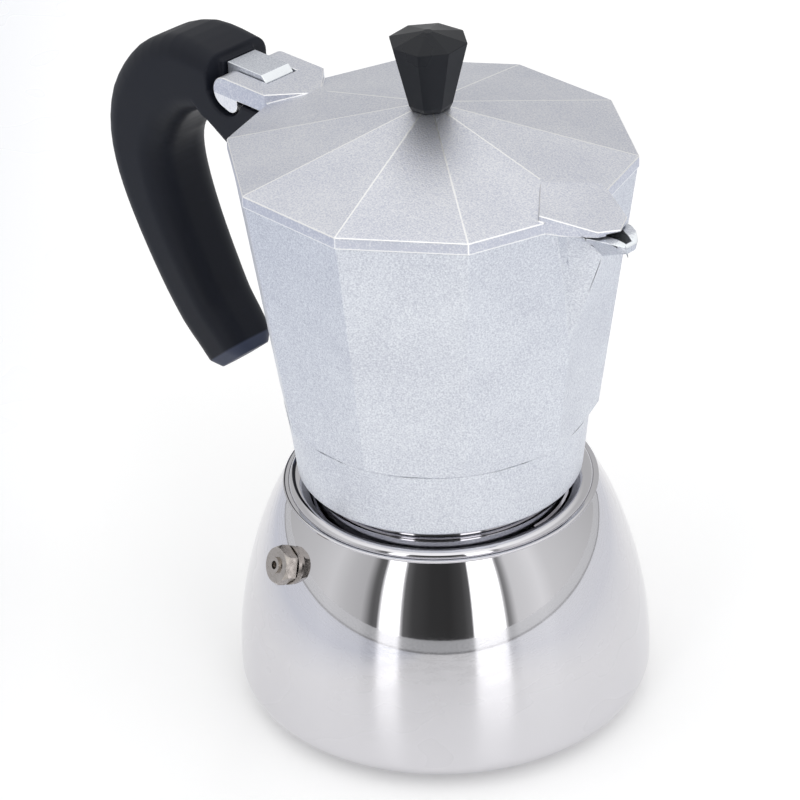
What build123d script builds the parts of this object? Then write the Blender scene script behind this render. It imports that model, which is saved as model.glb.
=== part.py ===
from build123d import *
from math import cos, radians, sin
import os

# Six-cup moka pot. Millimetres, +Z up, origin on the floor under the centre of the base.
# The spout points along +X and the handle along -X, both on corners of the ten-sided body.

SIDES = 10

# Boiler
BASE_FLAT_R = 42.6
BASE_WIDEST_R = 55.3
BASE_WIDEST_Z = 8.3
BASE_LIFT = 0.3
DOME = [(55.3, 8.3), (54.9, 18.0), (53.5, 28.0), (51.2, 38.0), (48.2, 47.7), (44.6, 56.2), (40.9, 62.5)]
SHOULDER_Z = 62.5
SHELL_WALL = 1.2
RIM_FILLET = 0.7
FLOOR_Z = 3.5
CAP_THICK = 0.7
NECK_R = 33.4
NECK_BORE_R = 30.0
NECK_TOP = 76.0
THREAD_CREST = 0.6
THREAD_PITCH = 3.2
THREAD_GAP = 0.3
NECK_THREAD_Z = 68.0

# Safety valve, seen from above at VALVE_ANGLE round from +X
VALVE_ANGLE = -103.0
VALVE_R = 46.75
VALVE_Z = 51.5
VALVE_TILT = 21.0
VALVE_FLATS = 9.2
VALVE_STEM_R = 3.0
VALVE_BORE_R = 1.75
PIN_R = 0.8
SPRING_R = 1.3
SPRING_WIRE = 0.2

# Distances along the valve's axis, outwards from the dome
SPOT_DEPTH = 0.4
FLANGE_OUT = 0.7
HEX_IN = 1.0
HEX_OUT = 4.4
NOSE_OUT = 5.0
PIN_RECESS = 1.5
STEM_END = -5.0
NUT_OUT = -1.7
NUT_IN = -3.9

# Funnel
BASKET_R = 29.5
BASKET_WALL = 0.6
BASKET_FLOOR = 50.0
FLANGE_R = 32.8
FLANGE_THICK = 0.8
TUBE_R = 4.5
TUBE_WALL = 0.7
TUBE_BOTTOM = 9.0
CONE_BOTTOM = 41.0

# Gasket and filter plate
GASKET_Z = 76.85
GASKET_STEP_Z = 78.05
SEAT_Z = 79.2
GASKET_R = 33.5
GASKET_HOLE_R = 27.0
PLATE_R = 29.8
PLATE_THICK = 0.8

# Collector
SKIRT_BOTTOM = 67.5
SKIRT_R = 37.5
SKIRT_TOP = 86.0
SKIRT_TOP_R = 39.5
SKIRT_BORE_R = NECK_R + 2 * THREAD_CREST + THREAD_GAP
UNDERCUT_Z = 87.8
UNDERCUT_R = 42.5
BODY_TOP = 155.35
BODY_LOW_R = 41.5
BODY_TOP_R = 51.5
BODY_WALL = 2.3
CHAMBER_FLOOR = 82.2
CHAMBER_LOW_R = 36.3
COLUMN_FOOT_Z = 90.5
COLUMN_FOOT_R = 8.5
COLUMN_TOP_R = 6.0
COLUMN_TOP = 140.0
COLUMN_BORE_R = 4.0
SKIRT_THREAD_Z = 69.6

# Lid
BRIM_BOTTOM = 155.4
BRIM_TOP = 158.5
BRIM_R = 51.9
CROWN_Z = 169.9
CROWN_R = 5.0
LID_WALL = 2.2
CROWN_TOP_AT_COVER = 162.07
COVER_START_X = 36.8
COVER_ROOT_X = 47.0
COVER_CORNER_X = 60.2
COVER_TIP_X = 62.9
COVER_ROOT_W = 11.5
COVER_CORNER_W = 5.3
COVER_TIP_Z = 157.5
COVER_UNDER_Z = 156.4
MOUTH_START_X = 55.0
MOUTH_HALF = 3.2
MOUTH_TOP_Z = 156.9
TAB_Z = 161.0
TAB_FRONT_X = -39.3
TAB_CORNER_X = -49.1
TAB_W = 10.7
SLOT_W = 5.25
SLOT_FRONT_X = -53.5

# Hinge
HINGE_X = -64.4
HINGE_Z = 156.6
BOSS_R = 4.3
LOBE_R = 2.8
LOBE_X = -62.6
LOBE_Z = 154.4
ARM_BOTTOM = 155.7
HINGE_PIN_R = 1.5
HINGE_GAP = 0.05
LUG_W = 4.9

# Handle
HANDLE_W = 11.0

# The grip's centreline, from its head at the hinge, out over the top and down to its end
GRIP_LINE = [(-71.0, 156.0), (-86.0, 154.1), (-104.2, 134.1), (-101.8, 112.5), (-84.5, 80.8), (-74.6, 69.8)]
GRIP_HEADING = (-1.0, -0.04)
GRIP_END_HEADING = (0.64, -0.77)

# Sections at even steps along that line: half depth, half width and corner radius.
# The loft goes through GRIP_STEPS finer ones, blended between these.
GRIP_SECTIONS = [
    (8.1, 11.0, 4.6),
    (10.6, 11.0, 5.8),
    (11.8, 11.0, 6.8),
    (12.2, 11.0, 7.5),
    (11.1, 11.0, 7.5),
    (10.4, 10.7, 7.3),
    (9.8, 10.3, 7.0),
    (9.5, 9.7, 6.6),
    (9.0, 9.0, 6.2),
    (8.4, 8.0, 5.5),
]
GRIP_STEPS = 36
# The last section is smaller, which bevels the grip's end
GRIP_TIP = (7.7, 5.3, 4.2)
POCKET_R = 6.3
POCKET_FLOOR = 154.9
LUG_BACK_X = -69.0
LUG_BOTTOM = 147.2
SCREW_X = -60.0
SCREW_R = 1.6
SCREW_HEAD_R = 3.2
SCREW_HEAD_Z = 143.6

# Knob
KNOB_R = 10.0
KNOB_FOOT_R = 5.9
KNOB_EDGE_Z = 187.8
KNOB_TOP_Z = 190.1
KNOB_SIDES = 8
KNOB_TURN = 29.4
KNOB_SCREW_R = 2.0


def inset(points, wall):
    """The points of a profile moved inwards by the wall, square to the line between their neighbours."""
    moved = []
    for i, (r, z) in enumerate(points):
        r0, z0 = points[max(i - 1, 0)]
        r1, z1 = points[min(i + 1, len(points) - 1)]
        length = ((r1 - r0) ** 2 + (z1 - z0) ** 2) ** 0.5
        moved.append((r - wall * (z1 - z0) / length, z + wall * (r1 - r0) / length))
    return moved


def ring(inner, outer, low, high):
    """A plain turned ring about Z, or a disc where the inner radius is nought."""
    with BuildPart() as hoop:
        with BuildSketch(Plane.XY.offset(low)):
            Circle(outer)
            if inner > 0:
                Circle(inner, mode=Mode.SUBTRACT)
        extrude(amount=high - low)
    return hoop.part


def faceted(low, low_r, high, high_r, sides=SIDES, turn=0.0):
    """A straight taper between two regular polygons, given by their corner radii."""
    with BuildPart() as taper:
        with BuildSketch(Plane.XY.offset(low)):
            RegularPolygon(low_r, sides, rotation=turn)
        with BuildSketch(Plane.XY.offset(high)):
            RegularPolygon(high_r, sides, rotation=turn)
        loft()
    return taper.part


def turned(points):
    """A solid turned about Z from a closed outline of radius and height."""
    with BuildPart() as body:
        with BuildSketch(Plane.XZ):
            with BuildLine():
                Polyline(*points, close=True)
            make_face()
        revolve(axis=Axis.Z)
    return body.part


def side_block(points, half_width):
    """A block with an outline in the XZ plane, reaching the same width to both sides of it."""
    with BuildPart() as block:
        with BuildSketch(Plane.XZ):
            with BuildLine():
                Polyline(*points, close=True)
            make_face()
        extrude(amount=half_width, both=True)
    return block.part


def plan_block(points, low, high):
    """A block with an outline seen from above."""
    with BuildPart() as block:
        with BuildSketch(Plane.XY.offset(low)):
            with BuildLine():
                Polyline(*points, close=True)
            make_face()
        extrude(amount=high - low)
    return block.part


def cross_pin(radius, x, z, y_from, y_to):
    """A cylinder along Y."""
    with BuildPart() as rod:
        with BuildSketch(Plane(origin=(x, y_from, z), x_dir=(1, 0, 0), z_dir=(0, 1, 0))):
            Circle(radius)
        extrude(amount=y_to - y_from)
    return rod.part


def along_valve(radius, start, end):
    """A cylinder on the safety valve's axis, measured outwards from the dome."""
    with BuildPart() as rod:
        with BuildSketch(valve_seat.offset(start)):
            Circle(radius)
        extrude(amount=end - start)
    return rod.part


def sieve(radius, low, thick, hole_r, rows, spacing):
    """A round plate with rings of holes."""
    with BuildPart() as plate:
        with BuildSketch(Plane.XY.offset(low)):
            Circle(radius)
            Circle(hole_r, mode=Mode.SUBTRACT)
            for row in range(1, rows + 1):
                with PolarLocations(row * spacing, 6 * row):
                    Circle(hole_r, mode=Mode.SUBTRACT)
        extrude(amount=thick)
    return plate.part


def thread(radius, crest, low, turns):
    """A helical rib on a cylinder. A negative crest points inwards, for a nut."""
    root = -0.25 if crest > 0 else 0.25
    path = Helix(THREAD_PITCH, THREAD_PITCH * turns, radius, center=(0, 0, low))
    with BuildPart() as rib:
        with BuildSketch(Plane(origin=path @ 0, x_dir=(1, 0, 0), z_dir=path % 0)):
            with BuildLine():
                Polyline((root, -0.9), (crest, -0.25), (crest, 0.25), (root, 0.9), close=True)
            make_face()
        sweep(path=path, is_frenet=True)
    return rib.part


def blend(rows, along):
    """A row of numbers at a place from 0 to 1 along a list of evenly spaced rows."""
    place = along * (len(rows) - 1)
    i = min(int(place), len(rows) - 2)
    part = place - i
    return [a + (b - a) * part for a, b in zip(rows[i], rows[i + 1])]


def spout_loft(stations):
    """A V-shaped form along +X through stations: distance, half widths of rim and keel, their heights."""
    with BuildPart() as channel:
        for x, half_width, keel_half, rim_z, keel_z in stations:
            with BuildSketch(Plane.YZ.offset(x)):
                with BuildLine():
                    Polyline(
                        (-half_width, rim_z),
                        (-keel_half, keel_z),
                        (keel_half, keel_z),
                        (half_width, rim_z),
                        close=True,
                    )
                make_face()
        loft(ruled=True)
    return channel.part


# ---------------------------------------------------------------- safety valve frame

# Z of this plane runs out along the valve's axis, square to the dome.
valve_seat = Plane(
    origin=(
        VALVE_R * cos(radians(VALVE_ANGLE)),
        VALVE_R * sin(radians(VALVE_ANGLE)),
        VALVE_Z,
    ),
    z_dir=(
        cos(radians(VALVE_ANGLE)) * cos(radians(VALVE_TILT)),
        sin(radians(VALVE_ANGLE)) * cos(radians(VALVE_TILT)),
        sin(radians(VALVE_TILT)),
    ),
)

# ---------------------------------------------------------------- boiler

spot_face = along_valve(VALVE_FLATS / 2 + 1.2, -SPOT_DEPTH, 3.0)
stem_hole = along_valve(VALVE_STEM_R + 0.05, -6.0, 2.0)
inner_dome = inset(DOME, SHELL_WALL)
under_shoulder = SHOULDER_Z - SHELL_WALL
inner_corner = (inner_dome[-1][0] + 0.25, under_shoulder)

with BuildPart() as boiler_shell:
    with BuildSketch(Plane.XZ):
        with BuildLine():
            EllipticalCenterArc(
                (BASE_FLAT_R, BASE_WIDEST_Z),
                BASE_WIDEST_R - BASE_FLAT_R,
                BASE_WIDEST_Z - BASE_LIFT,
                start_angle=-90,
                arc_size=90,
            )
            Spline(*DOME, tangents=[(0, 1), (-0.55, 1)])
            Polyline(DOME[-1], (NECK_R, SHOULDER_Z), (NECK_R, under_shoulder), inner_corner)
            Spline(inner_corner, *inner_dome[-2::-1], tangents=[(0.55, -1), (0, -1)])
            EllipticalCenterArc(
                (BASE_FLAT_R, inner_dome[0][1]),
                inner_dome[0][0] - BASE_FLAT_R,
                inner_dome[0][1] - FLOOR_Z - SHELL_WALL,
                start_angle=-90,
                arc_size=90,
            )
            Polyline(
                (BASE_FLAT_R, FLOOR_Z + SHELL_WALL),
                (0, FLOOR_Z + SHELL_WALL),
                (0, FLOOR_Z),
                (BASE_FLAT_R, FLOOR_Z),
                (BASE_FLAT_R, BASE_LIFT),
            )
        make_face()
    revolve(axis=Axis.Z)
    top_circles = boiler_shell.edges().filter_by(GeomType.CIRCLE).group_by(Axis.Z)[-1]
    fillet(top_circles.sort_by(SortBy.RADIUS)[-1], RIM_FILLET)
    add(spot_face, mode=Mode.SUBTRACT)
    add(stem_hole, mode=Mode.SUBTRACT)
boiler_shell.part.label = "boiler_shell"

neck_thread = thread(NECK_R, THREAD_CREST, NECK_THREAD_Z, 2.0)
with BuildPart() as neck_ring:
    add(ring(NECK_BORE_R, NECK_R, under_shoulder, NECK_TOP))
    chamfer(neck_ring.edges().group_by(Axis.Z)[-1].sort_by(SortBy.RADIUS)[-1], 0.5)
    add(neck_thread)
neck_ring.part.label = "neck_ring"

with BuildPart() as heat_spreader:
    with BuildSketch(Plane.XY.offset(CAP_THICK)):
        Circle(BASE_FLAT_R - 0.6)
    extrude(amount=FLOOR_Z - CAP_THICK)
heat_spreader.part.label = "heat_spreader"

with BuildPart() as base_cap:
    with BuildSketch():
        Circle(BASE_FLAT_R - 0.1)
    extrude(amount=CAP_THICK)
    fillet(base_cap.edges().group_by(Axis.Z)[0], 0.4)
base_cap.part.label = "base_cap"

# ---------------------------------------------------------------- safety valve

with BuildPart() as valve_flange:
    add(along_valve(VALVE_FLATS / 2 + 0.5, -SPOT_DEPTH, FLANGE_OUT))
    add(along_valve(VALVE_STEM_R + 0.05, -1.0, 3.0), mode=Mode.SUBTRACT)
valve_flange.part.label = "valve_flange"

# The hexagon's corners are turned off by a cone, as on a machined nut.
with BuildPart() as hex_cone:
    with BuildSketch(valve_seat.offset(HEX_IN)):
        Circle(VALVE_FLATS / 2 + 1.95)
    extrude(amount=HEX_OUT - HEX_IN + 0.01, taper=30)
with BuildPart() as valve_body:
    with BuildSketch(valve_seat.offset(HEX_IN)):
        RegularPolygon(VALVE_FLATS / 2, 6, major_radius=False, rotation=12)
    extrude(amount=HEX_OUT - HEX_IN)
    add(hex_cone.part, mode=Mode.INTERSECT)
    add(along_valve(VALVE_STEM_R, STEM_END, HEX_IN))
    add(along_valve(2.1, HEX_OUT, NOSE_OUT))
    add(along_valve(VALVE_BORE_R, STEM_END + 1.0, HEX_OUT - 0.8), mode=Mode.SUBTRACT)
    add(along_valve(PIN_R + 0.3, STEM_END, NOSE_OUT + 1.0), mode=Mode.SUBTRACT)
valve_body.part.label = "valve_body"

with BuildPart() as valve_nut:
    with BuildSketch(valve_seat.offset(NUT_IN)):
        RegularPolygon(VALVE_FLATS / 2, 6, major_radius=False)
        Circle(VALVE_STEM_R + 0.05, mode=Mode.SUBTRACT)
    extrude(amount=NUT_OUT - NUT_IN)
valve_nut.part.label = "valve_nut"

with BuildPart() as valve_pin:
    add(along_valve(VALVE_BORE_R - 0.2, STEM_END + 1.05, STEM_END + 1.9))
    add(along_valve(PIN_R, STEM_END + 1.9, NOSE_OUT - PIN_RECESS))
valve_pin.part.label = "valve_pin"

spring_start = STEM_END + 1.95
spring_turns = 6
spring_pitch = (HEX_OUT - 0.8 - 2 * SPRING_WIRE - 0.1 - spring_start) / spring_turns
spring_line = Helix(spring_pitch, spring_pitch * spring_turns, SPRING_R)
with BuildPart() as coil:
    with BuildSketch(Plane(origin=spring_line @ 0, z_dir=spring_line % 0)):
        Circle(SPRING_WIRE)
    sweep(path=spring_line, is_frenet=True)
with BuildPart() as valve_spring:
    add(valve_seat.offset(spring_start + SPRING_WIRE) * coil.part)
valve_spring.part.label = "valve_spring"

# ---------------------------------------------------------------- funnel

with BuildPart() as funnel_basket:
    add(
        turned(
            [
                (FLANGE_R, NECK_TOP),
                (FLANGE_R, NECK_TOP + FLANGE_THICK),
                (BASKET_R - BASKET_WALL, NECK_TOP + FLANGE_THICK),
                (BASKET_R - BASKET_WALL, BASKET_FLOOR),
                (TUBE_R + 0.4, CONE_BOTTOM + BASKET_WALL),
                (TUBE_R + 0.4, CONE_BOTTOM - 3.0),
                (TUBE_R + 1.0, CONE_BOTTOM - 3.0),
                (TUBE_R + 1.0, CONE_BOTTOM),
                (BASKET_R, BASKET_FLOOR - BASKET_WALL),
                (BASKET_R, NECK_TOP),
            ]
        )
    )
funnel_basket.part.label = "funnel_basket"

with BuildPart() as funnel_tube:
    with BuildSketch(Plane.XY.offset(TUBE_BOTTOM)):
        Circle(TUBE_R + 0.35)
        Circle(TUBE_R - TUBE_WALL, mode=Mode.SUBTRACT)
    extrude(amount=CONE_BOTTOM + 1.5 - TUBE_BOTTOM)
funnel_tube.part.label = "funnel_tube"

with BuildPart() as funnel_screen:
    add(sieve(BASKET_R - BASKET_WALL - 0.1, BASKET_FLOOR + 0.05, PLATE_THICK, 0.9, 4, 5.8))
funnel_screen.part.label = "funnel_screen"

# ---------------------------------------------------------------- gasket and filter plate

with BuildPart() as gasket:
    add(
        turned(
            [
                (GASKET_HOLE_R, GASKET_Z),
                (GASKET_R, GASKET_Z),
                (GASKET_R, SEAT_Z - 0.05),
                (PLATE_R + 0.1, SEAT_Z - 0.05),
                (PLATE_R + 0.1, GASKET_STEP_Z),
                (GASKET_HOLE_R, GASKET_STEP_Z),
            ]
        )
    )
gasket.part.label = "gasket"

with BuildPart() as filter_plate:
    add(sieve(PLATE_R, GASKET_STEP_Z + 0.02, PLATE_THICK, 0.8, 5, 4.6))
filter_plate.part.label = "filter_plate"

# ---------------------------------------------------------------- collector

spout_outside = spout_loft(
    [
        (44.0, 8.4, 0.6, BODY_TOP, 115.5),
        (BRIM_R + 0.3, 7.3, 0.6, BODY_TOP, 135.0),
        (57.8, 6.4, 0.7, 155.8, 148.8),
        (61.5, 5.6, 0.9, 156.0, 150.6),
        (63.8, 4.6, 1.2, 155.8, 151.6),
        (65.3, 3.4, 1.4, 155.2, 152.3),
        (66.4, 2.0, 1.4, 154.6, 152.9),
    ]
)
spout_inside = spout_loft(
    [
        (43.5, 7.0, 0.6, 162.0, 120.0),
        (56.0, 5.2, 0.7, 162.0, 150.3),
        (61.5, 4.3, 0.8, 162.0, 152.2),
        (63.8, 3.4, 0.9, 162.0, 153.1),
        (65.4, 1.9, 0.9, 162.0, 153.9),
    ]
)
undercut = turned(
    [
        (0, SKIRT_TOP),
        (SKIRT_TOP_R, SKIRT_TOP),
        (UNDERCUT_R, UNDERCUT_Z),
        (90.0, UNDERCUT_Z + 20.0),
        (90.0, BODY_TOP + 20.0),
        (0, BODY_TOP + 20.0),
    ]
)
skirt = turned(
    [
        (0, SKIRT_BOTTOM),
        (SKIRT_R - 0.5, SKIRT_BOTTOM),
        (SKIRT_R, SKIRT_BOTTOM + 0.5),
        (SKIRT_TOP_R, SKIRT_TOP),
        (SKIRT_TOP_R - 1.0, SKIRT_TOP + 1.0),
        (0, SKIRT_TOP + 1.0),
    ]
)
chamber = faceted(
    SKIRT_TOP,
    BODY_LOW_R - BODY_WALL,
    BODY_TOP + 0.1,
    BODY_TOP_R - BODY_WALL,
)
chamber_low = ring(0, CHAMBER_LOW_R, CHAMBER_FLOOR, COLUMN_FOOT_Z)
floor_and_column = turned(
    [
        (0, SKIRT_BOTTOM),
        (CHAMBER_LOW_R, SKIRT_BOTTOM),
        (CHAMBER_LOW_R, CHAMBER_FLOOR),
        (COLUMN_FOOT_R, COLUMN_FOOT_Z),
        (COLUMN_TOP_R, COLUMN_TOP - 2.0),
        (COLUMN_TOP_R - 2.0, COLUMN_TOP),
        (0, COLUMN_TOP),
    ]
)
rising_bore = turned(
    [
        (0, SKIRT_BOTTOM - 1.0),
        (SKIRT_BORE_R, SKIRT_BOTTOM - 1.0),
        (SKIRT_BORE_R, SEAT_Z),
        (PLATE_R - 1.3, SEAT_Z),
        (COLUMN_BORE_R, 87.8),
        (COLUMN_BORE_R - 1.0, COLUMN_TOP - 3.0),
        (0, COLUMN_TOP - 3.0),
    ]
)
outlet = side_block([(-2.0, 131.0), (2.0, 131.0), (2.0, 136.5), (-2.0, 136.5)], COLUMN_FOOT_R)
lug = side_block(
    [
        (-46.0, 137.5),
        (-53.0, LUG_BOTTOM),
        (LUG_BACK_X, LUG_BOTTOM),
        (LUG_BACK_X, 162.2),
        (-56.2, 162.2),
        (-54.5, 160.4),
        (-54.5, BRIM_BOTTOM - 0.2),
        (-46.0, BRIM_BOTTOM - 0.2),
    ],
    LUG_W,
)
skirt_thread = thread(SKIRT_BORE_R, -THREAD_CREST, SKIRT_THREAD_Z, 2.0)

with BuildPart() as collector:
    add(faceted(SKIRT_TOP - 0.5, BODY_LOW_R, BODY_TOP, BODY_TOP_R))
    add(undercut, mode=Mode.INTERSECT)
    add(spout_outside)
    add(lug)
    add(chamber, mode=Mode.SUBTRACT)
    add(spout_inside, mode=Mode.SUBTRACT)
    add(skirt)
    add(chamber_low, mode=Mode.SUBTRACT)
    add(floor_and_column)
    add(rising_bore, mode=Mode.SUBTRACT)
    add(outlet, mode=Mode.SUBTRACT)
    add(skirt_thread)
    add(cross_pin(HINGE_PIN_R + HINGE_GAP, HINGE_X, HINGE_Z, -LUG_W - 1, LUG_W + 1), mode=Mode.SUBTRACT)
    with Locations((SCREW_X, 0, LUG_BOTTOM)):
        Cylinder(SCREW_R + 0.05, 6.5, align=(Align.CENTER, Align.CENTER, Align.MIN), mode=Mode.SUBTRACT)
collector.part.label = "collector"

with BuildPart() as hinge_pin:
    add(cross_pin(HINGE_PIN_R, HINGE_X, HINGE_Z, -TAB_W + 1.6, TAB_W - 0.1))
hinge_pin.part.label = "hinge_pin"

# ---------------------------------------------------------------- handle

with BuildLine(Plane.XZ) as grip_line:
    Spline(*GRIP_LINE, tangents=[GRIP_HEADING, GRIP_END_HEADING])
with BuildPart() as handle_grip:
    for i in range(GRIP_STEPS + 1):
        along = i / GRIP_STEPS
        half_depth, half_width, corner = GRIP_TIP if i == GRIP_STEPS else blend(GRIP_SECTIONS, along)
        here = grip_line.line @ along
        with BuildSketch(Plane(origin=here, x_dir=(0, 1, 0), z_dir=grip_line.line % along)):
            RectangleRounded(2 * half_width, 2 * half_depth, corner)
    loft(ruled=True)
head = side_block(
    [
        (-78.0, 151.0),
        (-74.0, 147.2),
        (-71.5, 146.4),
        (-49.5, 133.7),
        (-44.0, 133.7),
        (-44.0, POCKET_FLOOR),
        (-71.0, POCKET_FLOOR),
        (-78.0, POCKET_FLOOR),
    ],
    HANDLE_W,
)
nose = side_block([(-73.0, 150.0), (-69.8, 150.0), (-69.8, 162.2), (-73.0, 162.2)], 5.9)
lug_slot = side_block(
    [
        (LUG_BACK_X - 0.2, LUG_BOTTOM - 0.1),
        (-40.0, LUG_BOTTOM - 0.1),
        (-40.0, 160.0),
        (LUG_BACK_X - 0.2, 160.0),
    ],
    LUG_W + 0.15,
)
wall_cutter = faceted(
    SKIRT_TOP - 0.5,
    BODY_LOW_R + 0.3,
    BODY_TOP,
    BODY_TOP_R + 0.3,
)
web_cutter = side_block([(-44.0, 135.0), (-54.0, 148.0), (-44.0, 148.0)], LUG_W + 0.15)

with BuildPart() as handle:
    add(handle_grip.part)
    add(head)
    add(cross_pin(POCKET_R, HINGE_X, HINGE_Z, -20.0, 20.0), mode=Mode.SUBTRACT)
    add(nose)
    add(lug_slot, mode=Mode.SUBTRACT)
    add(web_cutter, mode=Mode.SUBTRACT)
    add(wall_cutter, mode=Mode.SUBTRACT)
    with Locations((SCREW_X, 0, SCREW_HEAD_Z)):
        Cylinder(SCREW_R + 0.3, 12.0, align=(Align.CENTER, Align.CENTER, Align.MIN), mode=Mode.SUBTRACT)
        Cylinder(SCREW_HEAD_R + 0.4, 12.0, align=(Align.CENTER, Align.CENTER, Align.MAX), mode=Mode.SUBTRACT)
handle.part.label = "handle"

with BuildPart() as handle_screw:
    with BuildSketch(Plane((SCREW_X, 0, SCREW_HEAD_Z - 2.2))):
        Circle(SCREW_HEAD_R)
    extrude(amount=2.15)
    fillet(handle_screw.edges().group_by(Axis.Z)[0], 0.8)
    with BuildSketch(Plane((SCREW_X, 0, SCREW_HEAD_Z - 0.5))):
        Circle(SCREW_R)
    extrude(amount=LUG_BOTTOM + 6.5 - SCREW_HEAD_Z)
    with Locations((SCREW_X, 0, SCREW_HEAD_Z - 2.2)):
        Box(4.4, 0.8, 2.2, mode=Mode.SUBTRACT)
        Box(0.8, 4.4, 2.2, mode=Mode.SUBTRACT)
handle_screw.part.label = "handle_screw"

# ---------------------------------------------------------------- lid

cover_side = side_block(
    [
        (COVER_START_X, BRIM_BOTTOM),
        (COVER_START_X, CROWN_TOP_AT_COVER),
        (COVER_TIP_X, COVER_TIP_Z),
        (COVER_TIP_X, COVER_UNDER_Z),
        (COVER_CORNER_X, COVER_UNDER_Z),
        (BRIM_R + 0.2, BRIM_BOTTOM),
    ],
    COVER_ROOT_W,
)
cover_plan = plan_block(
    [
        (COVER_START_X, 0),
        (COVER_ROOT_X, -COVER_ROOT_W),
        (COVER_CORNER_X, -COVER_CORNER_W),
        (COVER_TIP_X, 0),
        (COVER_CORNER_X, COVER_CORNER_W),
        (COVER_ROOT_X, COVER_ROOT_W),
    ],
    BRIM_BOTTOM,
    CROWN_Z,
)
cover = cover_side & cover_plan
cover_hollow = side_block(
    [
        (COVER_START_X, BRIM_BOTTOM - 2.0),
        (COVER_START_X, CROWN_TOP_AT_COVER - 2.0),
        (MOUTH_START_X + 1.0, MOUTH_TOP_Z),
        (MOUTH_START_X + 1.0, BRIM_BOTTOM - 2.0),
    ],
    5.0,
)
mouth = side_block(
    [
        (MOUTH_START_X, BRIM_BOTTOM - 2.0),
        (MOUTH_START_X, MOUTH_TOP_Z),
        (COVER_TIP_X + 1.0, MOUTH_TOP_Z),
        (COVER_TIP_X + 1.0, BRIM_BOTTOM - 2.0),
    ],
    MOUTH_HALF,
)
arm_plan = plan_block(
    [
        (TAB_FRONT_X, 0),
        (TAB_CORNER_X, TAB_W),
        (-75.0, TAB_W),
        (-75.0, -TAB_W),
        (TAB_CORNER_X, -TAB_W),
    ],
    BRIM_BOTTOM - 10.0,
    TAB_Z + 1.0,
)
arm_slot = plan_block(
    [(SLOT_FRONT_X, SLOT_W), (-80.0, SLOT_W), (-80.0, -SLOT_W), (SLOT_FRONT_X, -SLOT_W)],
    BRIM_BOTTOM - 10.0,
    TAB_Z + 2.0,
)
with BuildPart() as arm_ends:
    with BuildSketch(Plane.XZ):
        with Locations((HINGE_X, HINGE_Z)):
            Circle(BOSS_R)
        with Locations((LOBE_X, LOBE_Z)):
            Circle(LOBE_R)
        make_hull()
    extrude(amount=TAB_W, both=True)
arm_bar = side_block(
    [(HINGE_X, ARM_BOTTOM), (-40.0, ARM_BOTTOM), (-40.0, TAB_Z - 0.1), (HINGE_X, TAB_Z - 0.1)],
    TAB_W,
)
tab_roof = side_block(
    [(HINGE_X, ARM_BOTTOM), (TAB_FRONT_X, ARM_BOTTOM), (TAB_FRONT_X, TAB_Z), (HINGE_X, TAB_Z - 0.1)],
    TAB_W,
)
lid_hollow = faceted(BRIM_BOTTOM + 1.6, BRIM_R - 3.7, CROWN_Z - LID_WALL, CROWN_R - 0.5)
brim_hollow = faceted(BRIM_BOTTOM - 1.0, BRIM_R - 3.7, BRIM_BOTTOM + 1.6, BRIM_R - 3.7)

with BuildPart() as lid:
    add(tab_roof)
    add(arm_ends.part)
    add(arm_plan, mode=Mode.INTERSECT)
    add(arm_slot, mode=Mode.SUBTRACT)
    add(faceted(BRIM_BOTTOM, BRIM_R, BRIM_TOP, BRIM_R))
    add(faceted(BRIM_TOP, BRIM_R, CROWN_Z, CROWN_R))
    add(cover)
    add(brim_hollow, mode=Mode.SUBTRACT)
    add(lid_hollow, mode=Mode.SUBTRACT)
    add(cover_hollow, mode=Mode.SUBTRACT)
    add(mouth, mode=Mode.SUBTRACT)
    add(cross_pin(HINGE_PIN_R + HINGE_GAP, HINGE_X, HINGE_Z, -TAB_W + 1.5, TAB_W + 2.0), mode=Mode.SUBTRACT)
    with Locations((0, 0, CROWN_Z)):
        Cylinder(KNOB_SCREW_R + 0.1, 10.0, mode=Mode.SUBTRACT)
lid.part.label = "lid"

with BuildPart() as knob:
    add(faceted(CROWN_Z + 0.05, KNOB_FOOT_R - 0.7, CROWN_Z + 1.4, KNOB_FOOT_R, KNOB_SIDES, KNOB_TURN))
    add(faceted(CROWN_Z + 1.4, KNOB_FOOT_R, KNOB_EDGE_Z, KNOB_R, KNOB_SIDES, KNOB_TURN))
    add(faceted(KNOB_EDGE_Z, KNOB_R, KNOB_TOP_Z, KNOB_R * 0.12, KNOB_SIDES, KNOB_TURN))
    with Locations((0, 0, CROWN_Z)):
        Cylinder(
            KNOB_SCREW_R + 0.05,
            10.5,
            align=(Align.CENTER, Align.CENTER, Align.MIN),
            mode=Mode.SUBTRACT,
        )
knob.part.label = "knob"

lid_ceiling = CROWN_Z - LID_WALL
with BuildPart() as knob_washer:
    with BuildSketch(Plane.XY.offset(lid_ceiling - 0.65)):
        Circle(4.0)
        Circle(KNOB_SCREW_R + 0.1, mode=Mode.SUBTRACT)
    extrude(amount=0.6)
knob_washer.part.label = "knob_washer"

with BuildPart() as knob_screw:
    add(ring(0, 3.4, lid_ceiling - 3.0, lid_ceiling - 0.7))
    fillet(knob_screw.edges().group_by(Axis.Z)[0], 1.0)
    add(ring(0, KNOB_SCREW_R, lid_ceiling - 1.0, CROWN_Z + 10.0))
    with Locations((0, 0, lid_ceiling - 3.0)):
        Box(5.0, 0.9, 2.4, mode=Mode.SUBTRACT)
knob_screw.part.label = "knob_screw"

# ---------------------------------------------------------------- files

pieces = (
    boiler_shell,
    neck_ring,
    heat_spreader,
    base_cap,
    valve_flange,
    valve_body,
    valve_nut,
    valve_pin,
    valve_spring,
    funnel_basket,
    funnel_tube,
    funnel_screen,
    gasket,
    filter_plate,
    collector,
    hinge_pin,
    handle,
    handle_screw,
    lid,
    knob,
    knob_washer,
    knob_screw,
)
os.makedirs("parts", exist_ok=True)
for piece in pieces:
    export_step(piece.part, f"parts/{piece.part.label}.step")
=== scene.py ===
import math

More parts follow.
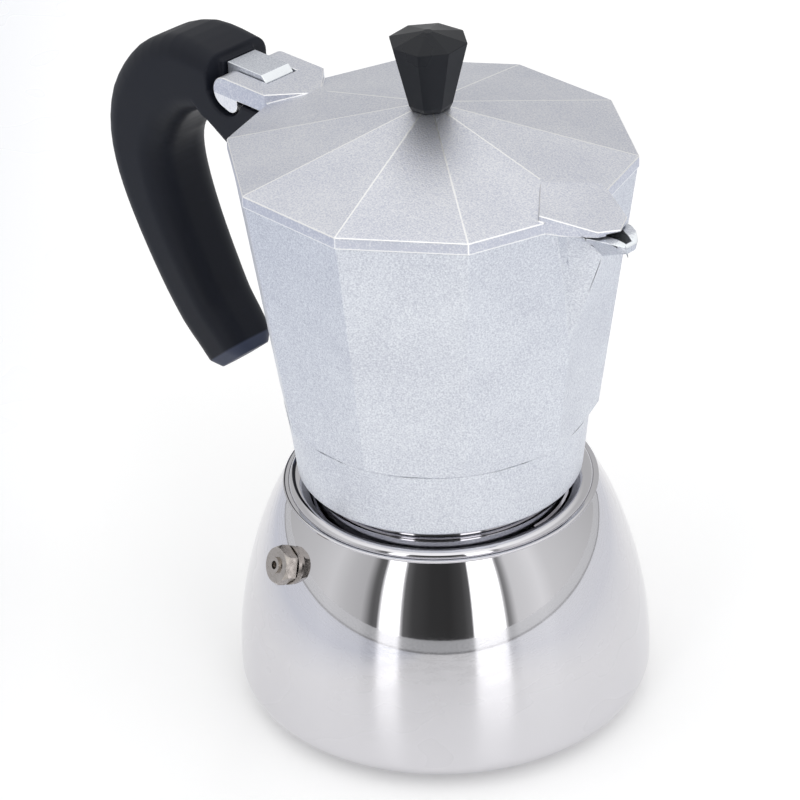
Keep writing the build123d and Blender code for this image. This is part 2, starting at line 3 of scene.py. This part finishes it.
import bmesh
import bpy
import numpy as np
from mathutils import Matrix, Vector


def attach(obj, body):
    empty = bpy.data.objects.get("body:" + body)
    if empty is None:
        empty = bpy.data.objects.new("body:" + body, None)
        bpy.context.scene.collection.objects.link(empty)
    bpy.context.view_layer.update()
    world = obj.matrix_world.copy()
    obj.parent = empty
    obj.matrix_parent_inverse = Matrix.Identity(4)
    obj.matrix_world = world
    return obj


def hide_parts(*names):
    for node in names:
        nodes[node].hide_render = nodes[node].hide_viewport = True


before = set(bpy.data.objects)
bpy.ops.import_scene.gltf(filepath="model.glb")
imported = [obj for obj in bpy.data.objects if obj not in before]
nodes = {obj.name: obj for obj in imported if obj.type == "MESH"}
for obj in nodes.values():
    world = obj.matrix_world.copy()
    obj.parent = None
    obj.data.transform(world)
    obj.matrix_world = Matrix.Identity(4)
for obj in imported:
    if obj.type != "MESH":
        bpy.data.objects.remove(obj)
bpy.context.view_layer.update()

# Lengths in this script are millimetres, as in the CAD, and MM turns them into metres.
MM = 0.001

# ---------------------------------------------------------------- driving sizes, as in the CAD

BASE_FLAT_R = 42.6
BASE_WIDEST_R = 55.3
BASE_WIDEST_Z = 8.3
BASE_LIFT = 0.3
DOME = [(55.3, 8.3), (54.9, 18.0), (53.5, 28.0), (51.2, 38.0), (48.2, 47.7), (44.6, 56.2), (40.9, 62.5)]
SHELL_WALL = 1.2
SHOULDER_Z = 62.5
RIM_ROUND = 0.62
FLOOR_Z = 3.5
NECK_R = 33.4
LATHE_STEPS = 288
BEAD_R = 40.05
BEAD_ROUND = 2.6
BEAD_TOP = 1.5

GRIP_END = (-74.6, 69.8)
GRIP_END_HEADING = (0.64, -0.77)
BEVEL_START = 3.4
BEVEL_FULL = 2.8
BODY_CORNERS = 10
COVER_START_X = 36.8
COVER_ROOT_HALF = 3.0
BRIM_BOTTOM = 155.4
# Half width, in millimetres, of the painted highlight line along each ridge of the lid
RIDGE_HALF = 0.14


# ---------------------------------------------------------------- shader helpers


class Material:
    """A procedural material: a Principled shader and the nodes that feed it."""

    def __init__(self, name, color, roughness, metallic=0.0, **sockets):
        self.material = bpy.data.materials.new(name)
        self.material.use_nodes = True
        self.tree = self.material.node_tree
        self.surface = self.tree.nodes["Principled BSDF"]
        self.surface.inputs["Base Color"].default_value = (*color, 1.0)
        self.surface.inputs["Roughness"].default_value = roughness
        self.surface.inputs["Metallic"].default_value = metallic
        for socket, value in sockets.items():
            self.surface.inputs[socket.replace("_", " ")].default_value = value
        self.color = color
        self.place = self.node("ShaderNodeTexCoord").outputs["Object"]

    def node(self, kind, **settings):
        made = self.tree.nodes.new(kind)
        for key, value in settings.items():
            setattr(made, key, value)
        return made

    def link(self, output, socket):
        self.tree.links.new(output, socket)

    def stretched(self, x, y, z):
        """The object's coordinates, in metres, scaled along each axis."""
        mapping = self.node("ShaderNodeMapping")
        mapping.inputs["Scale"].default_value = (x, y, z)
        self.link(self.place, mapping.inputs["Vector"])
        return mapping.outputs["Vector"]

    def noise(self, size_mm, detail, place=None):
        """Soft noise whose features are about size_mm across, from 0 to 1."""
        made = self.node("ShaderNodeTexNoise")
        made.inputs["Scale"].default_value = 1.0 / (size_mm * MM)
        made.inputs["Detail"].default_value = detail
        self.link(place or self.place, made.inputs["Vector"])
        return made.outputs["Fac"]

    def spread(self, value, low, high, to_low, to_high):
        """The value moved from one range to another, held inside it."""
        made = self.node("ShaderNodeMapRange")
        made.inputs["From Min"].default_value = low
        made.inputs["From Max"].default_value = high
        made.inputs["To Min"].default_value = to_low
        made.inputs["To Max"].default_value = to_high
        self.link(value, made.inputs["Value"])
        return made.outputs["Result"]

    def math(self, operation, a, b):
        made = self.node("ShaderNodeMath", operation=operation)
        for socket, value in zip(made.inputs, (a, b)):
            if isinstance(value, (int, float)):
                socket.default_value = value
            else:
                self.link(value, socket)
        return made.outputs["Value"]

    def tint(self, amount, dark, light):
        """The base colour mixed by amount between two multiples of itself."""
        mix = self.node("ShaderNodeMix", data_type="RGBA")
        mix.inputs["A"].default_value = (*(c * dark for c in self.color), 1.0)
        mix.inputs["B"].default_value = (*(min(1.0, c * light) for c in self.color), 1.0)
        self.link(amount, mix.inputs["Factor"])
        self.link(mix.outputs["Result"], self.surface.inputs["Base Color"])

    def rough(self, value):
        self.link(value, self.surface.inputs["Roughness"])

    def bump(self, *layers):
        """Bumps one over the other, each a height from 0 to 1 and its depth in millimetres."""
        under = None
        for height, depth_mm in layers:
            made = self.node("ShaderNodeBump")
            made.inputs["Strength"].default_value = 1.0
            made.inputs["Distance"].default_value = depth_mm * MM
            self.link(height, made.inputs["Height"])
            if under is not None:
                self.link(under, made.inputs["Normal"])
            under = made.outputs["Normal"]
        self.link(under, self.surface.inputs["Normal"])

    def axes(self, vector):
        """The three parts of a vector."""
        split = self.node("ShaderNodeSeparateXYZ")
        self.link(vector, split.inputs["Vector"])
        return [split.outputs[axis] for axis in "XYZ"]

    def radius(self):
        """How far a point is from the pot's axis, in metres."""
        squares = [self.math("POWER", part, 2.0) for part in self.axes(self.place)[:2]]
        return self.math("SQRT", self.math("ADD", *squares), 0.0)

    def turned_over(self, both_ways):
        """1 where a surface leans between upright and level, as on a rounded edge, 0 elsewhere."""
        lean = self.axes(self.node("ShaderNodeTexCoord").outputs["Normal"])[2]
        if both_ways:
            lean = self.math("ABSOLUTE", lean, 0.0)
        below = self.spread(lean, 0.22, 0.40, 0.0, 1.0)
        above = self.spread(lean, 0.90, 0.95, 1.0, 0.0)
        return self.math("MULTIPLY", below, above)

    def upright(self):
        """1 on upright faces, 0 elsewhere."""
        lean = self.math("ABSOLUTE", self.axes(self.node("ShaderNodeTexCoord").outputs["Normal"])[2], 0.0)
        return self.spread(lean, 0.05, 0.15, 1.0, 0.0)

    def ridges(self, half_width_mm):
        """1 on the lid's ridges, which run out from its middle to its corners, 0 elsewhere."""
        x, y = self.axes(self.place)[:2]
        aside = self.math("PINGPONG", self.math("ARCTAN2", y, x), math.pi / BODY_CORNERS)
        away = self.math("MULTIPLY", self.radius(), aside)
        ridge = self.spread(away, half_width_mm * MM, 1.8 * half_width_mm * MM, 1.0, 0.0)
        far_out = self.math("GREATER_THAN", self.math("ABSOLUTE", x, 0.0), COVER_START_X * MM)
        in_line = self.math("LESS_THAN", self.math("ABSOLUTE", y, 0.0), COVER_ROOT_HALF * MM)
        return self.math("SUBTRACT", ridge, self.math("MULTIPLY", far_out, in_line))


# ---------------------------------------------------------------- materials


def cast_aluminium(name, color, grain_depth_mm, is_lid):
    """Blasted aluminium casting: fine bright grain, rounded edges painted brighter (partly wear rubbed
    bright by tumbling, partly painted highlight), and on the lid painted shade on upright faces.
    """
    made = Material(name, color, 0.4, 1.0)
    grain = made.noise(0.42, 2.0)
    clouds = made.noise(16.0, 3.0)
    speckle_and_shade = made.math("ADD", made.math("MULTIPLY", grain, 0.8), made.math("MULTIPLY", clouds, 0.2))
    # Rounded edges, and on the lid its ridges and the brim's lower edge, are painted brighter: partly rubbed
    # wear, partly painted highlight.
    rubbed = made.turned_over(is_lid)
    if is_lid:
        # Painted highlight lines along the lid's ridges, partly rubbed wear
        rubbed = made.math("MAXIMUM", rubbed, made.ridges(RIDGE_HALF))
        # On the lid, upright faces such as the brim's band are painted darker: painted shade.
        speckle_and_shade = made.math("SUBTRACT", speckle_and_shade, made.math("MULTIPLY", made.upright(), 0.11))
        height = made.axes(made.place)[2]
        # A painted bright line along the brim's lower edge, partly rubbed wear
        lower_edge = made.spread(height, (BRIM_BOTTOM + 0.3) * MM, (BRIM_BOTTOM + 0.5) * MM, 0.8, 0.0)
        rubbed = made.math("MAXIMUM", rubbed, lower_edge)
    uneven = made.spread(made.noise(4.0, 3.0), 0.3, 0.5, 0.7, 1.0)
    rubbed = made.math("MULTIPLY", rubbed, uneven)
    made.tint(made.math("ADD", made.spread(speckle_and_shade, 0.34, 0.66, 0.0, 0.62), rubbed), 0.80, 1.36)
    matt = made.spread(grain, 0.3, 0.7, 0.50, 0.36)
    made.rough(made.math("SUBTRACT", matt, made.math("MULTIPLY", rubbed, 0.08)))
    made.bump((made.noise(5.0, 2.0), 0.010), (grain, grain_depth_mm))
    return made.material


def mirror_steel():
    """Polished stainless steel, with faint wiping marks and the slow waves of a pressed sheet."""
    made = Material("mirror_steel", (0.655, 0.648, 0.672), 0.05, 1.0)
    wiped = made.noise(1.6, 4.0, made.stretched(1.0, 1.0, 9.0))
    patches = made.noise(22.0, 3.0)
    made.tint(patches, 0.97, 1.02)
    made.rough(made.spread(made.math("MULTIPLY", wiped, patches), 0.12, 0.45, 0.020, 0.055))
    made.bump((made.noise(26.0, 1.0), 0.012), (wiped, 0.0001))
    return made.material


def turned_steel(name, color):
    """Sheet or plate turned on a lathe: rings about the pot's axis."""
    made = Material(name, color, 0.3, 1.0)
    rings = made.node("ShaderNodeTexNoise", noise_dimensions="1D")
    rings.inputs["Scale"].default_value = 1.0 / (0.35 * MM)
    rings.inputs["Detail"].default_value = 4.0
    made.link(made.radius(), rings.inputs["W"])
    marks = rings.outputs["Fac"]
    made.tint(made.noise(9.0, 4.0), 0.93, 1.05)
    made.rough(made.spread(marks, 0.3, 0.7, 0.22, 0.38))
    made.bump((marks, 0.006))
    return made.material


def moulded_plastic(name, color, low_rough, high_rough, texture_mm):
    """Black plastic from a fine-textured mould, rubbed smoother in patches."""
    made = Material(name, color, low_rough, 0.0, Specular_IOR_Level=0.2)
    pores = made.noise(texture_mm, 3.0)
    worn = made.noise(17.0, 3.0)
    made.tint(worn, 0.8, 1.25)
    made.rough(made.spread(worn, 0.3, 0.7, low_rough, high_rough))
    made.bump((made.noise(9.0, 1.0), 0.02), (pores, 0.005))
    return made


def grip_plastic():
    """The handle's plastic, with a painted highlight on its bevelled end."""
    made = moulded_plastic("grip_plastic", (0.0085, 0.0102, 0.0165), 0.46, 0.54, 0.45)
    x, _, z = made.axes(made.place)
    along = made.math(
        "ADD",
        made.math("MULTIPLY", made.math("SUBTRACT", x, GRIP_END[0] * MM), GRIP_END_HEADING[0]),
        made.math("MULTIPLY", made.math("SUBTRACT", z, GRIP_END[1] * MM), GRIP_END_HEADING[1]),
    )
    # The bevelled end face is painted lighter: a painted highlight.
    end_highlight = made.spread(along, -BEVEL_START * MM, -BEVEL_FULL * MM, 0.0, 0.8)
    worn = made.math("MULTIPLY", made.noise(17.0, 3.0), 0.07)
    made.tint(made.math("ADD", end_highlight, worn), 0.8, 7.5)
    return made.material


def nickel():
    """Nickel-plated brass turning, slightly warm and a little tarnished in patches."""
    made = Material("nickel", (0.44, 0.405, 0.375), 0.24, 1.0)
    tarnish = made.noise(1.3, 4.0)
    made.tint(tarnish, 0.72, 1.12)
    made.rough(made.spread(tarnish, 0.3, 0.7, 0.32, 0.17))
    made.bump((made.noise(0.25, 3.0), 0.006))
    return made.material


def zinc_steel():
    made = Material("zinc_steel", (0.60, 0.60, 0.61), 0.3, 1.0)
    bloom = made.noise(0.9, 4.0)
    made.tint(bloom, 0.8, 1.1)
    made.rough(made.spread(bloom, 0.3, 0.7, 0.42, 0.24))
    made.bump((made.noise(0.2, 2.0), 0.004))
    return made.material


def silicone():
    """Matt white silicone with a faint dusty bloom."""
    made = Material("silicone", (0.80, 0.79, 0.75), 0.55, 0.0, Subsurface_Weight=0.08)
    bloom = made.noise(2.2, 4.0)
    made.tint(bloom, 0.93, 1.05)
    made.rough(made.spread(bloom, 0.3, 0.7, 0.48, 0.66))
    made.bump((made.noise(0.4, 3.0), 0.01))
    return made.material


LID_CAST = cast_aluminium("lid_aluminium", (0.76, 0.787, 0.89), 0.07, True)
BODY_CAST = cast_aluminium("body_aluminium", (0.69, 0.715, 0.80), 0.020, False)
MIRROR = mirror_steel()
PLATE = turned_steel("turned_steel", (0.60, 0.60, 0.61))
SPUN = turned_steel("spun_aluminium", (0.74, 0.75, 0.77))
GRIP = grip_plastic()
GLOSS = moulded_plastic("knob_plastic", (0.011, 0.0125, 0.016), 0.20, 0.42, 0.9).material
NICKEL = nickel()
ZINC = zinc_steel()
RUBBER = silicone()

FINISHES = {
    "neck_ring": MIRROR,
    "heat_spreader": SPUN,
    "base_cap": PLATE,
    "valve_flange": NICKEL,
    "valve_body": NICKEL,
    "valve_nut": NICKEL,
    "valve_pin": NICKEL,
    "valve_spring": ZINC,
    "funnel_basket": SPUN,
    "funnel_tube": SPUN,
    "funnel_screen": SPUN,
    "gasket": RUBBER,
    "filter_plate": SPUN,
    "collector": BODY_CAST,
    "hinge_pin": ZINC,
    "handle": GRIP,
    "handle_screw": ZINC,
    "lid": LID_CAST,
    "knob": GLOSS,
    "knob_washer": ZINC,
    "knob_screw": ZINC,
}
for name, material in FINISHES.items():
    slots = nodes[name].data.materials
    slots.clear()
    slots.append(material)

# ---------------------------------------------------------------- soft edges on CAD nodes

# Edges sharper than this are softened
SOFTENED_DEGREES = 8.0


def welded(node):
    """A CAD node's modifiers, beginning with one that joins the edges of its faces."""
    stack = nodes[node].modifiers
    weld = stack.new("weld", "WELD")
    weld.merge_threshold = 0.002 * MM
    return stack


def soften(node, width_mm, clamped):
    """Rounds a CAD node's sharp edges with modifiers, which leave its mesh as it is.

    A clamped bevel is narrowed, for all edges alike, to what the shortest edge has room for.
    """
    stack = welded(node)
    flats = stack.new("flats", "DECIMATE")
    flats.decimate_type = "DISSOLVE"
    flats.angle_limit = math.radians(0.4)
    bevel = stack.new("bevel", "BEVEL")
    bevel.width = width_mm * MM
    bevel.segments = 3
    bevel.limit_method = "ANGLE"
    bevel.angle_limit = math.radians(SOFTENED_DEGREES)
    bevel.use_clamp_overlap = clamped
    normals = stack.new("normals", "WEIGHTED_NORMAL")
    normals.keep_sharp = False


def mould(node, grid_mm, rounds):
    """Gives a CAD node the soft skin of a moulding: a fine even mesh, smoothed."""
    stack = welded(node)
    skin = stack.new("skin", "REMESH")
    skin.mode = "VOXEL"
    skin.voxel_size = grid_mm * MM
    skin.use_smooth_shade = True
    smooth = stack.new("smooth", "SMOOTH")
    smooth.factor = 0.5
    smooth.iterations = rounds


soften("lid", 0.3, False)
soften("collector", 0.25, False)
soften("knob", 0.35, True)
soften("valve_body", 0.15, True)
mould("handle", 0.35, 5)

# ---------------------------------------------------------------- turned and swept pieces


def new_piece(name, verts, faces, body, material, slot, replaced):
    """A mesh piece in the pot's frame, from millimetres, which stands for a CAD node."""
    mesh = bpy.data.meshes.new(name)
    mesh.from_pydata([Vector(v) * MM for v in verts], [], faces)
    mesh.validate()
    tidy = bmesh.new()
    tidy.from_mesh(mesh)
    bmesh.ops.recalc_face_normals(tidy, faces=tidy.faces)
    tidy.to_mesh(mesh)
    tidy.free()
    mesh.shade_smooth()
    mesh.set_sharp_from_angle(angle=math.radians(32))
    mesh.materials.append(material)
    piece = bpy.data.objects.new(name, mesh)
    bpy.context.scene.collection.objects.link(piece)
    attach(piece, body)
    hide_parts(replaced)


def lathe(profile, steps):
    """Vertices and quads of a closed profile of radius and height, turned about Z."""
    verts = []
    for i in range(steps):
        turn = 2 * math.pi * i / steps
        verts += [(r * math.cos(turn), r * math.sin(turn), z) for r, z in profile]
    faces = []
    count = len(profile)
    for i in range(steps):
        here = i * count
        there = ((i + 1) % steps) * count
        for j in range(count):
            k = (j + 1) % count
            faces.append((here + j, there + j, there + k, here + k))
    return verts, faces


def arc(center, radii, start, end, steps):
    """Points on a part of an ellipse, in degrees from +X."""
    angles = [math.radians(start + (end - start) * i / steps) for i in range(steps + 1)]
    return [(center[0] + radii[0] * math.cos(a), center[1] + radii[1] * math.sin(a)) for a in angles]


def dome_points(wall, top_z, steps):
    """The dome's profile from its widest height to top_z, moved inwards by the wall."""
    curve = np.poly1d(np.polyfit([z for r, z in DOME], [r for r, z in DOME], 5))
    slope = curve.deriv()
    points = []
    for z in np.linspace(BASE_WIDEST_Z, top_z, steps):
        lean = math.atan(slope(z))
        radius = min(curve(z), BASE_WIDEST_R)
        points.append((radius - wall * math.cos(lean), z + wall * math.sin(lean)))
    return points


def boiler_profile():
    """The boiler's outside from its foot to the neck, then its inside back down to the floor."""
    foot = arc(
        (BASE_FLAT_R, BASE_WIDEST_Z),
        (BASE_WIDEST_R - BASE_FLAT_R, BASE_WIDEST_Z - BASE_LIFT),
        -90,
        -2,
        28,
    )
    outside = dome_points(0.0, SHOULDER_Z - 0.75, 72)
    rim_r = outside[-1][0]
    rim = arc((rim_r - RIM_ROUND, SHOULDER_Z - RIM_ROUND), (0.9, RIM_ROUND), 32, 90, 6)
    groove = [(BEAD_R + 0.12, SHOULDER_Z), (BEAD_R + 0.04, SHOULDER_Z - 0.12)]
    bead = arc((BEAD_R - BEAD_ROUND, SHOULDER_Z - 0.1), (BEAD_ROUND, BEAD_TOP + 0.1), 0, 90, 16)
    weld = [
        (NECK_R + 1.0, SHOULDER_Z + BEAD_TOP),
        (NECK_R + 0.5, SHOULDER_Z + BEAD_TOP - 0.4),
        (NECK_R, SHOULDER_Z),
    ]
    under = SHOULDER_Z - SHELL_WALL
    inside = [p for p in dome_points(SHELL_WALL, SHOULDER_Z - 1.4, 40) if p[1] < under]
    inner_foot = arc(
        (BASE_FLAT_R, BASE_WIDEST_Z),
        (BASE_WIDEST_R - BASE_FLAT_R - SHELL_WALL, BASE_WIDEST_Z - FLOOR_Z - SHELL_WALL),
        0,
        -90,
        16,
    )
    floor = [(0.001, FLOOR_Z + SHELL_WALL), (0.001, FLOOR_Z), (BASE_FLAT_R, FLOOR_Z)]
    corner = [(NECK_R, under), (inside[-1][0], under)]
    return foot + outside + rim + groove + bead + weld + corner + inside[::-1] + inner_foot[1:] + floor


new_piece(
    "boiler_dome",
    *lathe(boiler_profile(), LATHE_STEPS),
    "boiler",
    MIRROR,
    "mirror_steel",
    "boiler_shell",
)

# ---------------------------------------------------------------- floor, studio and camera

# Where the floor changes, in metres from the pot's axis, and the colours it changes to
FLOOR_SIZE = 30.0
SIDE_START = 0.11
SIDE_END = 0.24
# Blue-grey painted shade on the floor well out to the pot's sides
SIDE_SHADE = (0.62, 0.65, 0.73)
SEAM_START = 0.72
SEAM_END = 0.84
SEAM_SOFTNESS = 0.02
SEAM_WAVES = 0.05
# Dark painted shade in a wavy ring on the floor
SEAM_SHADE = (0.08, 0.08, 0.09)
FAR_TINT = (0.48, 0.49, 0.50)


def floor_material():
    """White near the pot, with blue-grey painted shade well out to its sides, and grey beyond a dark ring of
    painted shade.
    """
    # The floor glows evenly a little: painted light, which brightens it and lightens the pot's shadow on it.
    made = Material("pale_floor", (0.93, 0.93, 0.93), 0.3, Specular_IOR_Level=0.5, Emission_Strength=0.17)
    made.surface.inputs["Emission Color"].default_value = (1.0, 1.0, 1.0, 1.0)
    x, y = made.axes(made.place)[:2]
    sideways = made.math("MULTIPLY", made.math("ADD", x, y), math.sqrt(0.5))
    # Painted shade on the floor to the left and, fainter, to the right
    left = made.spread(sideways, -SIDE_START, -SIDE_END, 0.0, 1.0)
    right = made.spread(sideways, SIDE_START, SIDE_END, 0.0, 0.6)
    waves = made.math("MULTIPLY", made.noise(260.0, 1.0), SEAM_WAVES)
    distance = made.math("ADD", made.radius(), waves)
    beyond = made.spread(distance, SEAM_START, SEAM_START + SEAM_SOFTNESS, 0.0, 1.0)
    before = made.spread(distance, SEAM_END, SEAM_END + SEAM_SOFTNESS, 1.0, 0.0)
    # A wavy ring of dark painted shade on the floor
    seam = made.math("MULTIPLY", beyond, before)
    under = None
    for amount, color in [(made.math("ADD", left, right), SIDE_SHADE), (beyond, FAR_TINT), (seam, SEAM_SHADE)]:
        mix = made.node("ShaderNodeMix", data_type="RGBA")
        mix.inputs["A"].default_value = (*made.color, 1.0)
        mix.inputs["B"].default_value = (*color, 1.0)
        made.link(amount, mix.inputs["Factor"])
        if under is not None:
            made.link(under, mix.inputs["A"])
        under = mix.outputs["Result"]
    made.link(under, made.surface.inputs["Base Color"])
    made.rough(made.spread(made.noise(60.0, 2.0), 0.3, 0.7, 0.24, 0.32))
    return made.material


floor_mesh = bpy.data.meshes.new("floor")
corners = [(-1, -1, 0), (1, -1, 0), (1, 1, 0), (-1, 1, 0)]
floor_mesh.from_pydata([Vector(c) * FLOOR_SIZE for c in corners], [], [(0, 1, 2, 3)])
floor_mesh.materials.append(floor_material())
floor = bpy.data.objects.new("floor", floor_mesh)
bpy.context.scene.collection.objects.link(floor)

# The studio's walls, as brightness against the angle round from the middle of the gap between
# its two tall soft boxes. The gap is dark, and pale walls go all the way round behind them.
GAP_DIRECTION = -45.0
WALLS = [
    (-180, 0.62),
    (-125, 0.62),
    (-90, 0.74),
    (-71, 0.86),
    (-60, 0.69),
    (-49, 0.60),
    (-43, 0.13),
    (-38.5, 0.18),
    (-37.0, 2.6),
    (-26.5, 2.6),
    (-25.0, 0.20),
    (-19, 0.075),
    (-8, 0.045),
    (3, 0.042),
    (11, 0.07),
    (15.5, 0.15),
    (17.0, 2.6),
    (34.0, 2.6),
    (35.5, 0.22),
    (38, 0.33),
    (42, 0.84),
    (50, 0.90),
    (59, 1.00),
    (68, 0.84),
    (90, 0.74),
    (125, 0.62),
    (180, 0.62),
]
BRIGHTEST = 2.6
# The walls turn into the ceiling between these angles above the floor
WALL_TOP = 32.0
CEILING_START = 48.0
CEILING_NEAR = 1.35
CEILING_FAR = 0.98


def studio():
    """Light from all round: walls with two soft boxes, under a broad white ceiling."""
    world = bpy.data.worlds.new("studio")
    bpy.context.scene.world = world
    world.use_nodes = True
    tree = world.node_tree
    link = tree.links.new

    def node(kind, **settings):
        made = tree.nodes.new(kind)
        for key, value in settings.items():
            setattr(made, key, value)
        return made

    place = node("ShaderNodeTexCoord")
    turn = node("ShaderNodeVectorRotate", rotation_type="Z_AXIS")
    turn.inputs["Angle"].default_value = math.radians(-GAP_DIRECTION)
    link(place.outputs["Generated"], turn.inputs["Vector"])
    split = node("ShaderNodeSeparateXYZ")
    link(turn.outputs["Vector"], split.inputs["Vector"])
    around = node("ShaderNodeMath", operation="ARCTAN2")
    link(split.outputs["Y"], around.inputs[0])
    link(split.outputs["X"], around.inputs[1])
    along = node("ShaderNodeMapRange")
    along.inputs["From Min"].default_value = -math.pi
    along.inputs["From Max"].default_value = math.pi
    link(around.outputs["Value"], along.inputs["Value"])
    walls = node("ShaderNodeValToRGB")
    stops = walls.color_ramp.elements
    while len(stops) < len(WALLS):
        stops.new(0.5)
    for stop, (degrees, brightness) in zip(stops, WALLS):
        stop.position = (degrees + 180) / 360
        level = brightness / BRIGHTEST
        stop.color = (level, level, level, 1.0)
    link(along.outputs["Result"], walls.inputs["Fac"])
    height = node("ShaderNodeMapRange", interpolation_type="SMOOTHSTEP")
    height.inputs["From Min"].default_value = math.sin(math.radians(WALL_TOP))
    height.inputs["From Max"].default_value = math.sin(math.radians(CEILING_START))
    link(split.outputs["Z"], height.inputs["Value"])
    nearness = node("ShaderNodeMapRange")
    nearness.inputs["From Min"].default_value = -0.5
    nearness.inputs["From Max"].default_value = 0.5
    nearness.inputs["To Min"].default_value = CEILING_FAR / BRIGHTEST
    nearness.inputs["To Max"].default_value = CEILING_NEAR / BRIGHTEST
    link(split.outputs["X"], nearness.inputs["Value"])
    mix = node("ShaderNodeMix", data_type="RGBA")
    link(height.outputs["Result"], mix.inputs["Factor"])
    link(walls.outputs["Color"], mix.inputs["A"])
    link(nearness.outputs["Result"], mix.inputs["B"])
    background = tree.nodes["Background"]
    background.inputs["Strength"].default_value = BRIGHTEST
    link(mix.outputs["Result"], background.inputs["Color"])


studio()

# Camera: where it stands, which ways are right and up in its picture, and its focal length
CAMERA_PLACE = Vector((532.97, -532.16, 538.90)) * MM
CAMERA_RIGHT = Vector((0.70995, 0.70358, -0.03080))
CAMERA_UP = Vector((-0.34450, 0.38510, 0.85617))
CAMERA_LENS = 152.37

camera_data = bpy.data.cameras.new("camera")
camera_data.lens = CAMERA_LENS
camera_data.clip_start = 0.05
camera = bpy.data.objects.new("camera", camera_data)
turn = Matrix((CAMERA_RIGHT, CAMERA_UP, CAMERA_RIGHT.cross(CAMERA_UP))).transposed()
camera.matrix_world = Matrix.Translation(CAMERA_PLACE) @ turn.to_4x4()
bpy.context.scene.collection.objects.link(camera)
bpy.context.scene.camera = camera
bpy.context.scene.view_settings.view_transform = "Standard"
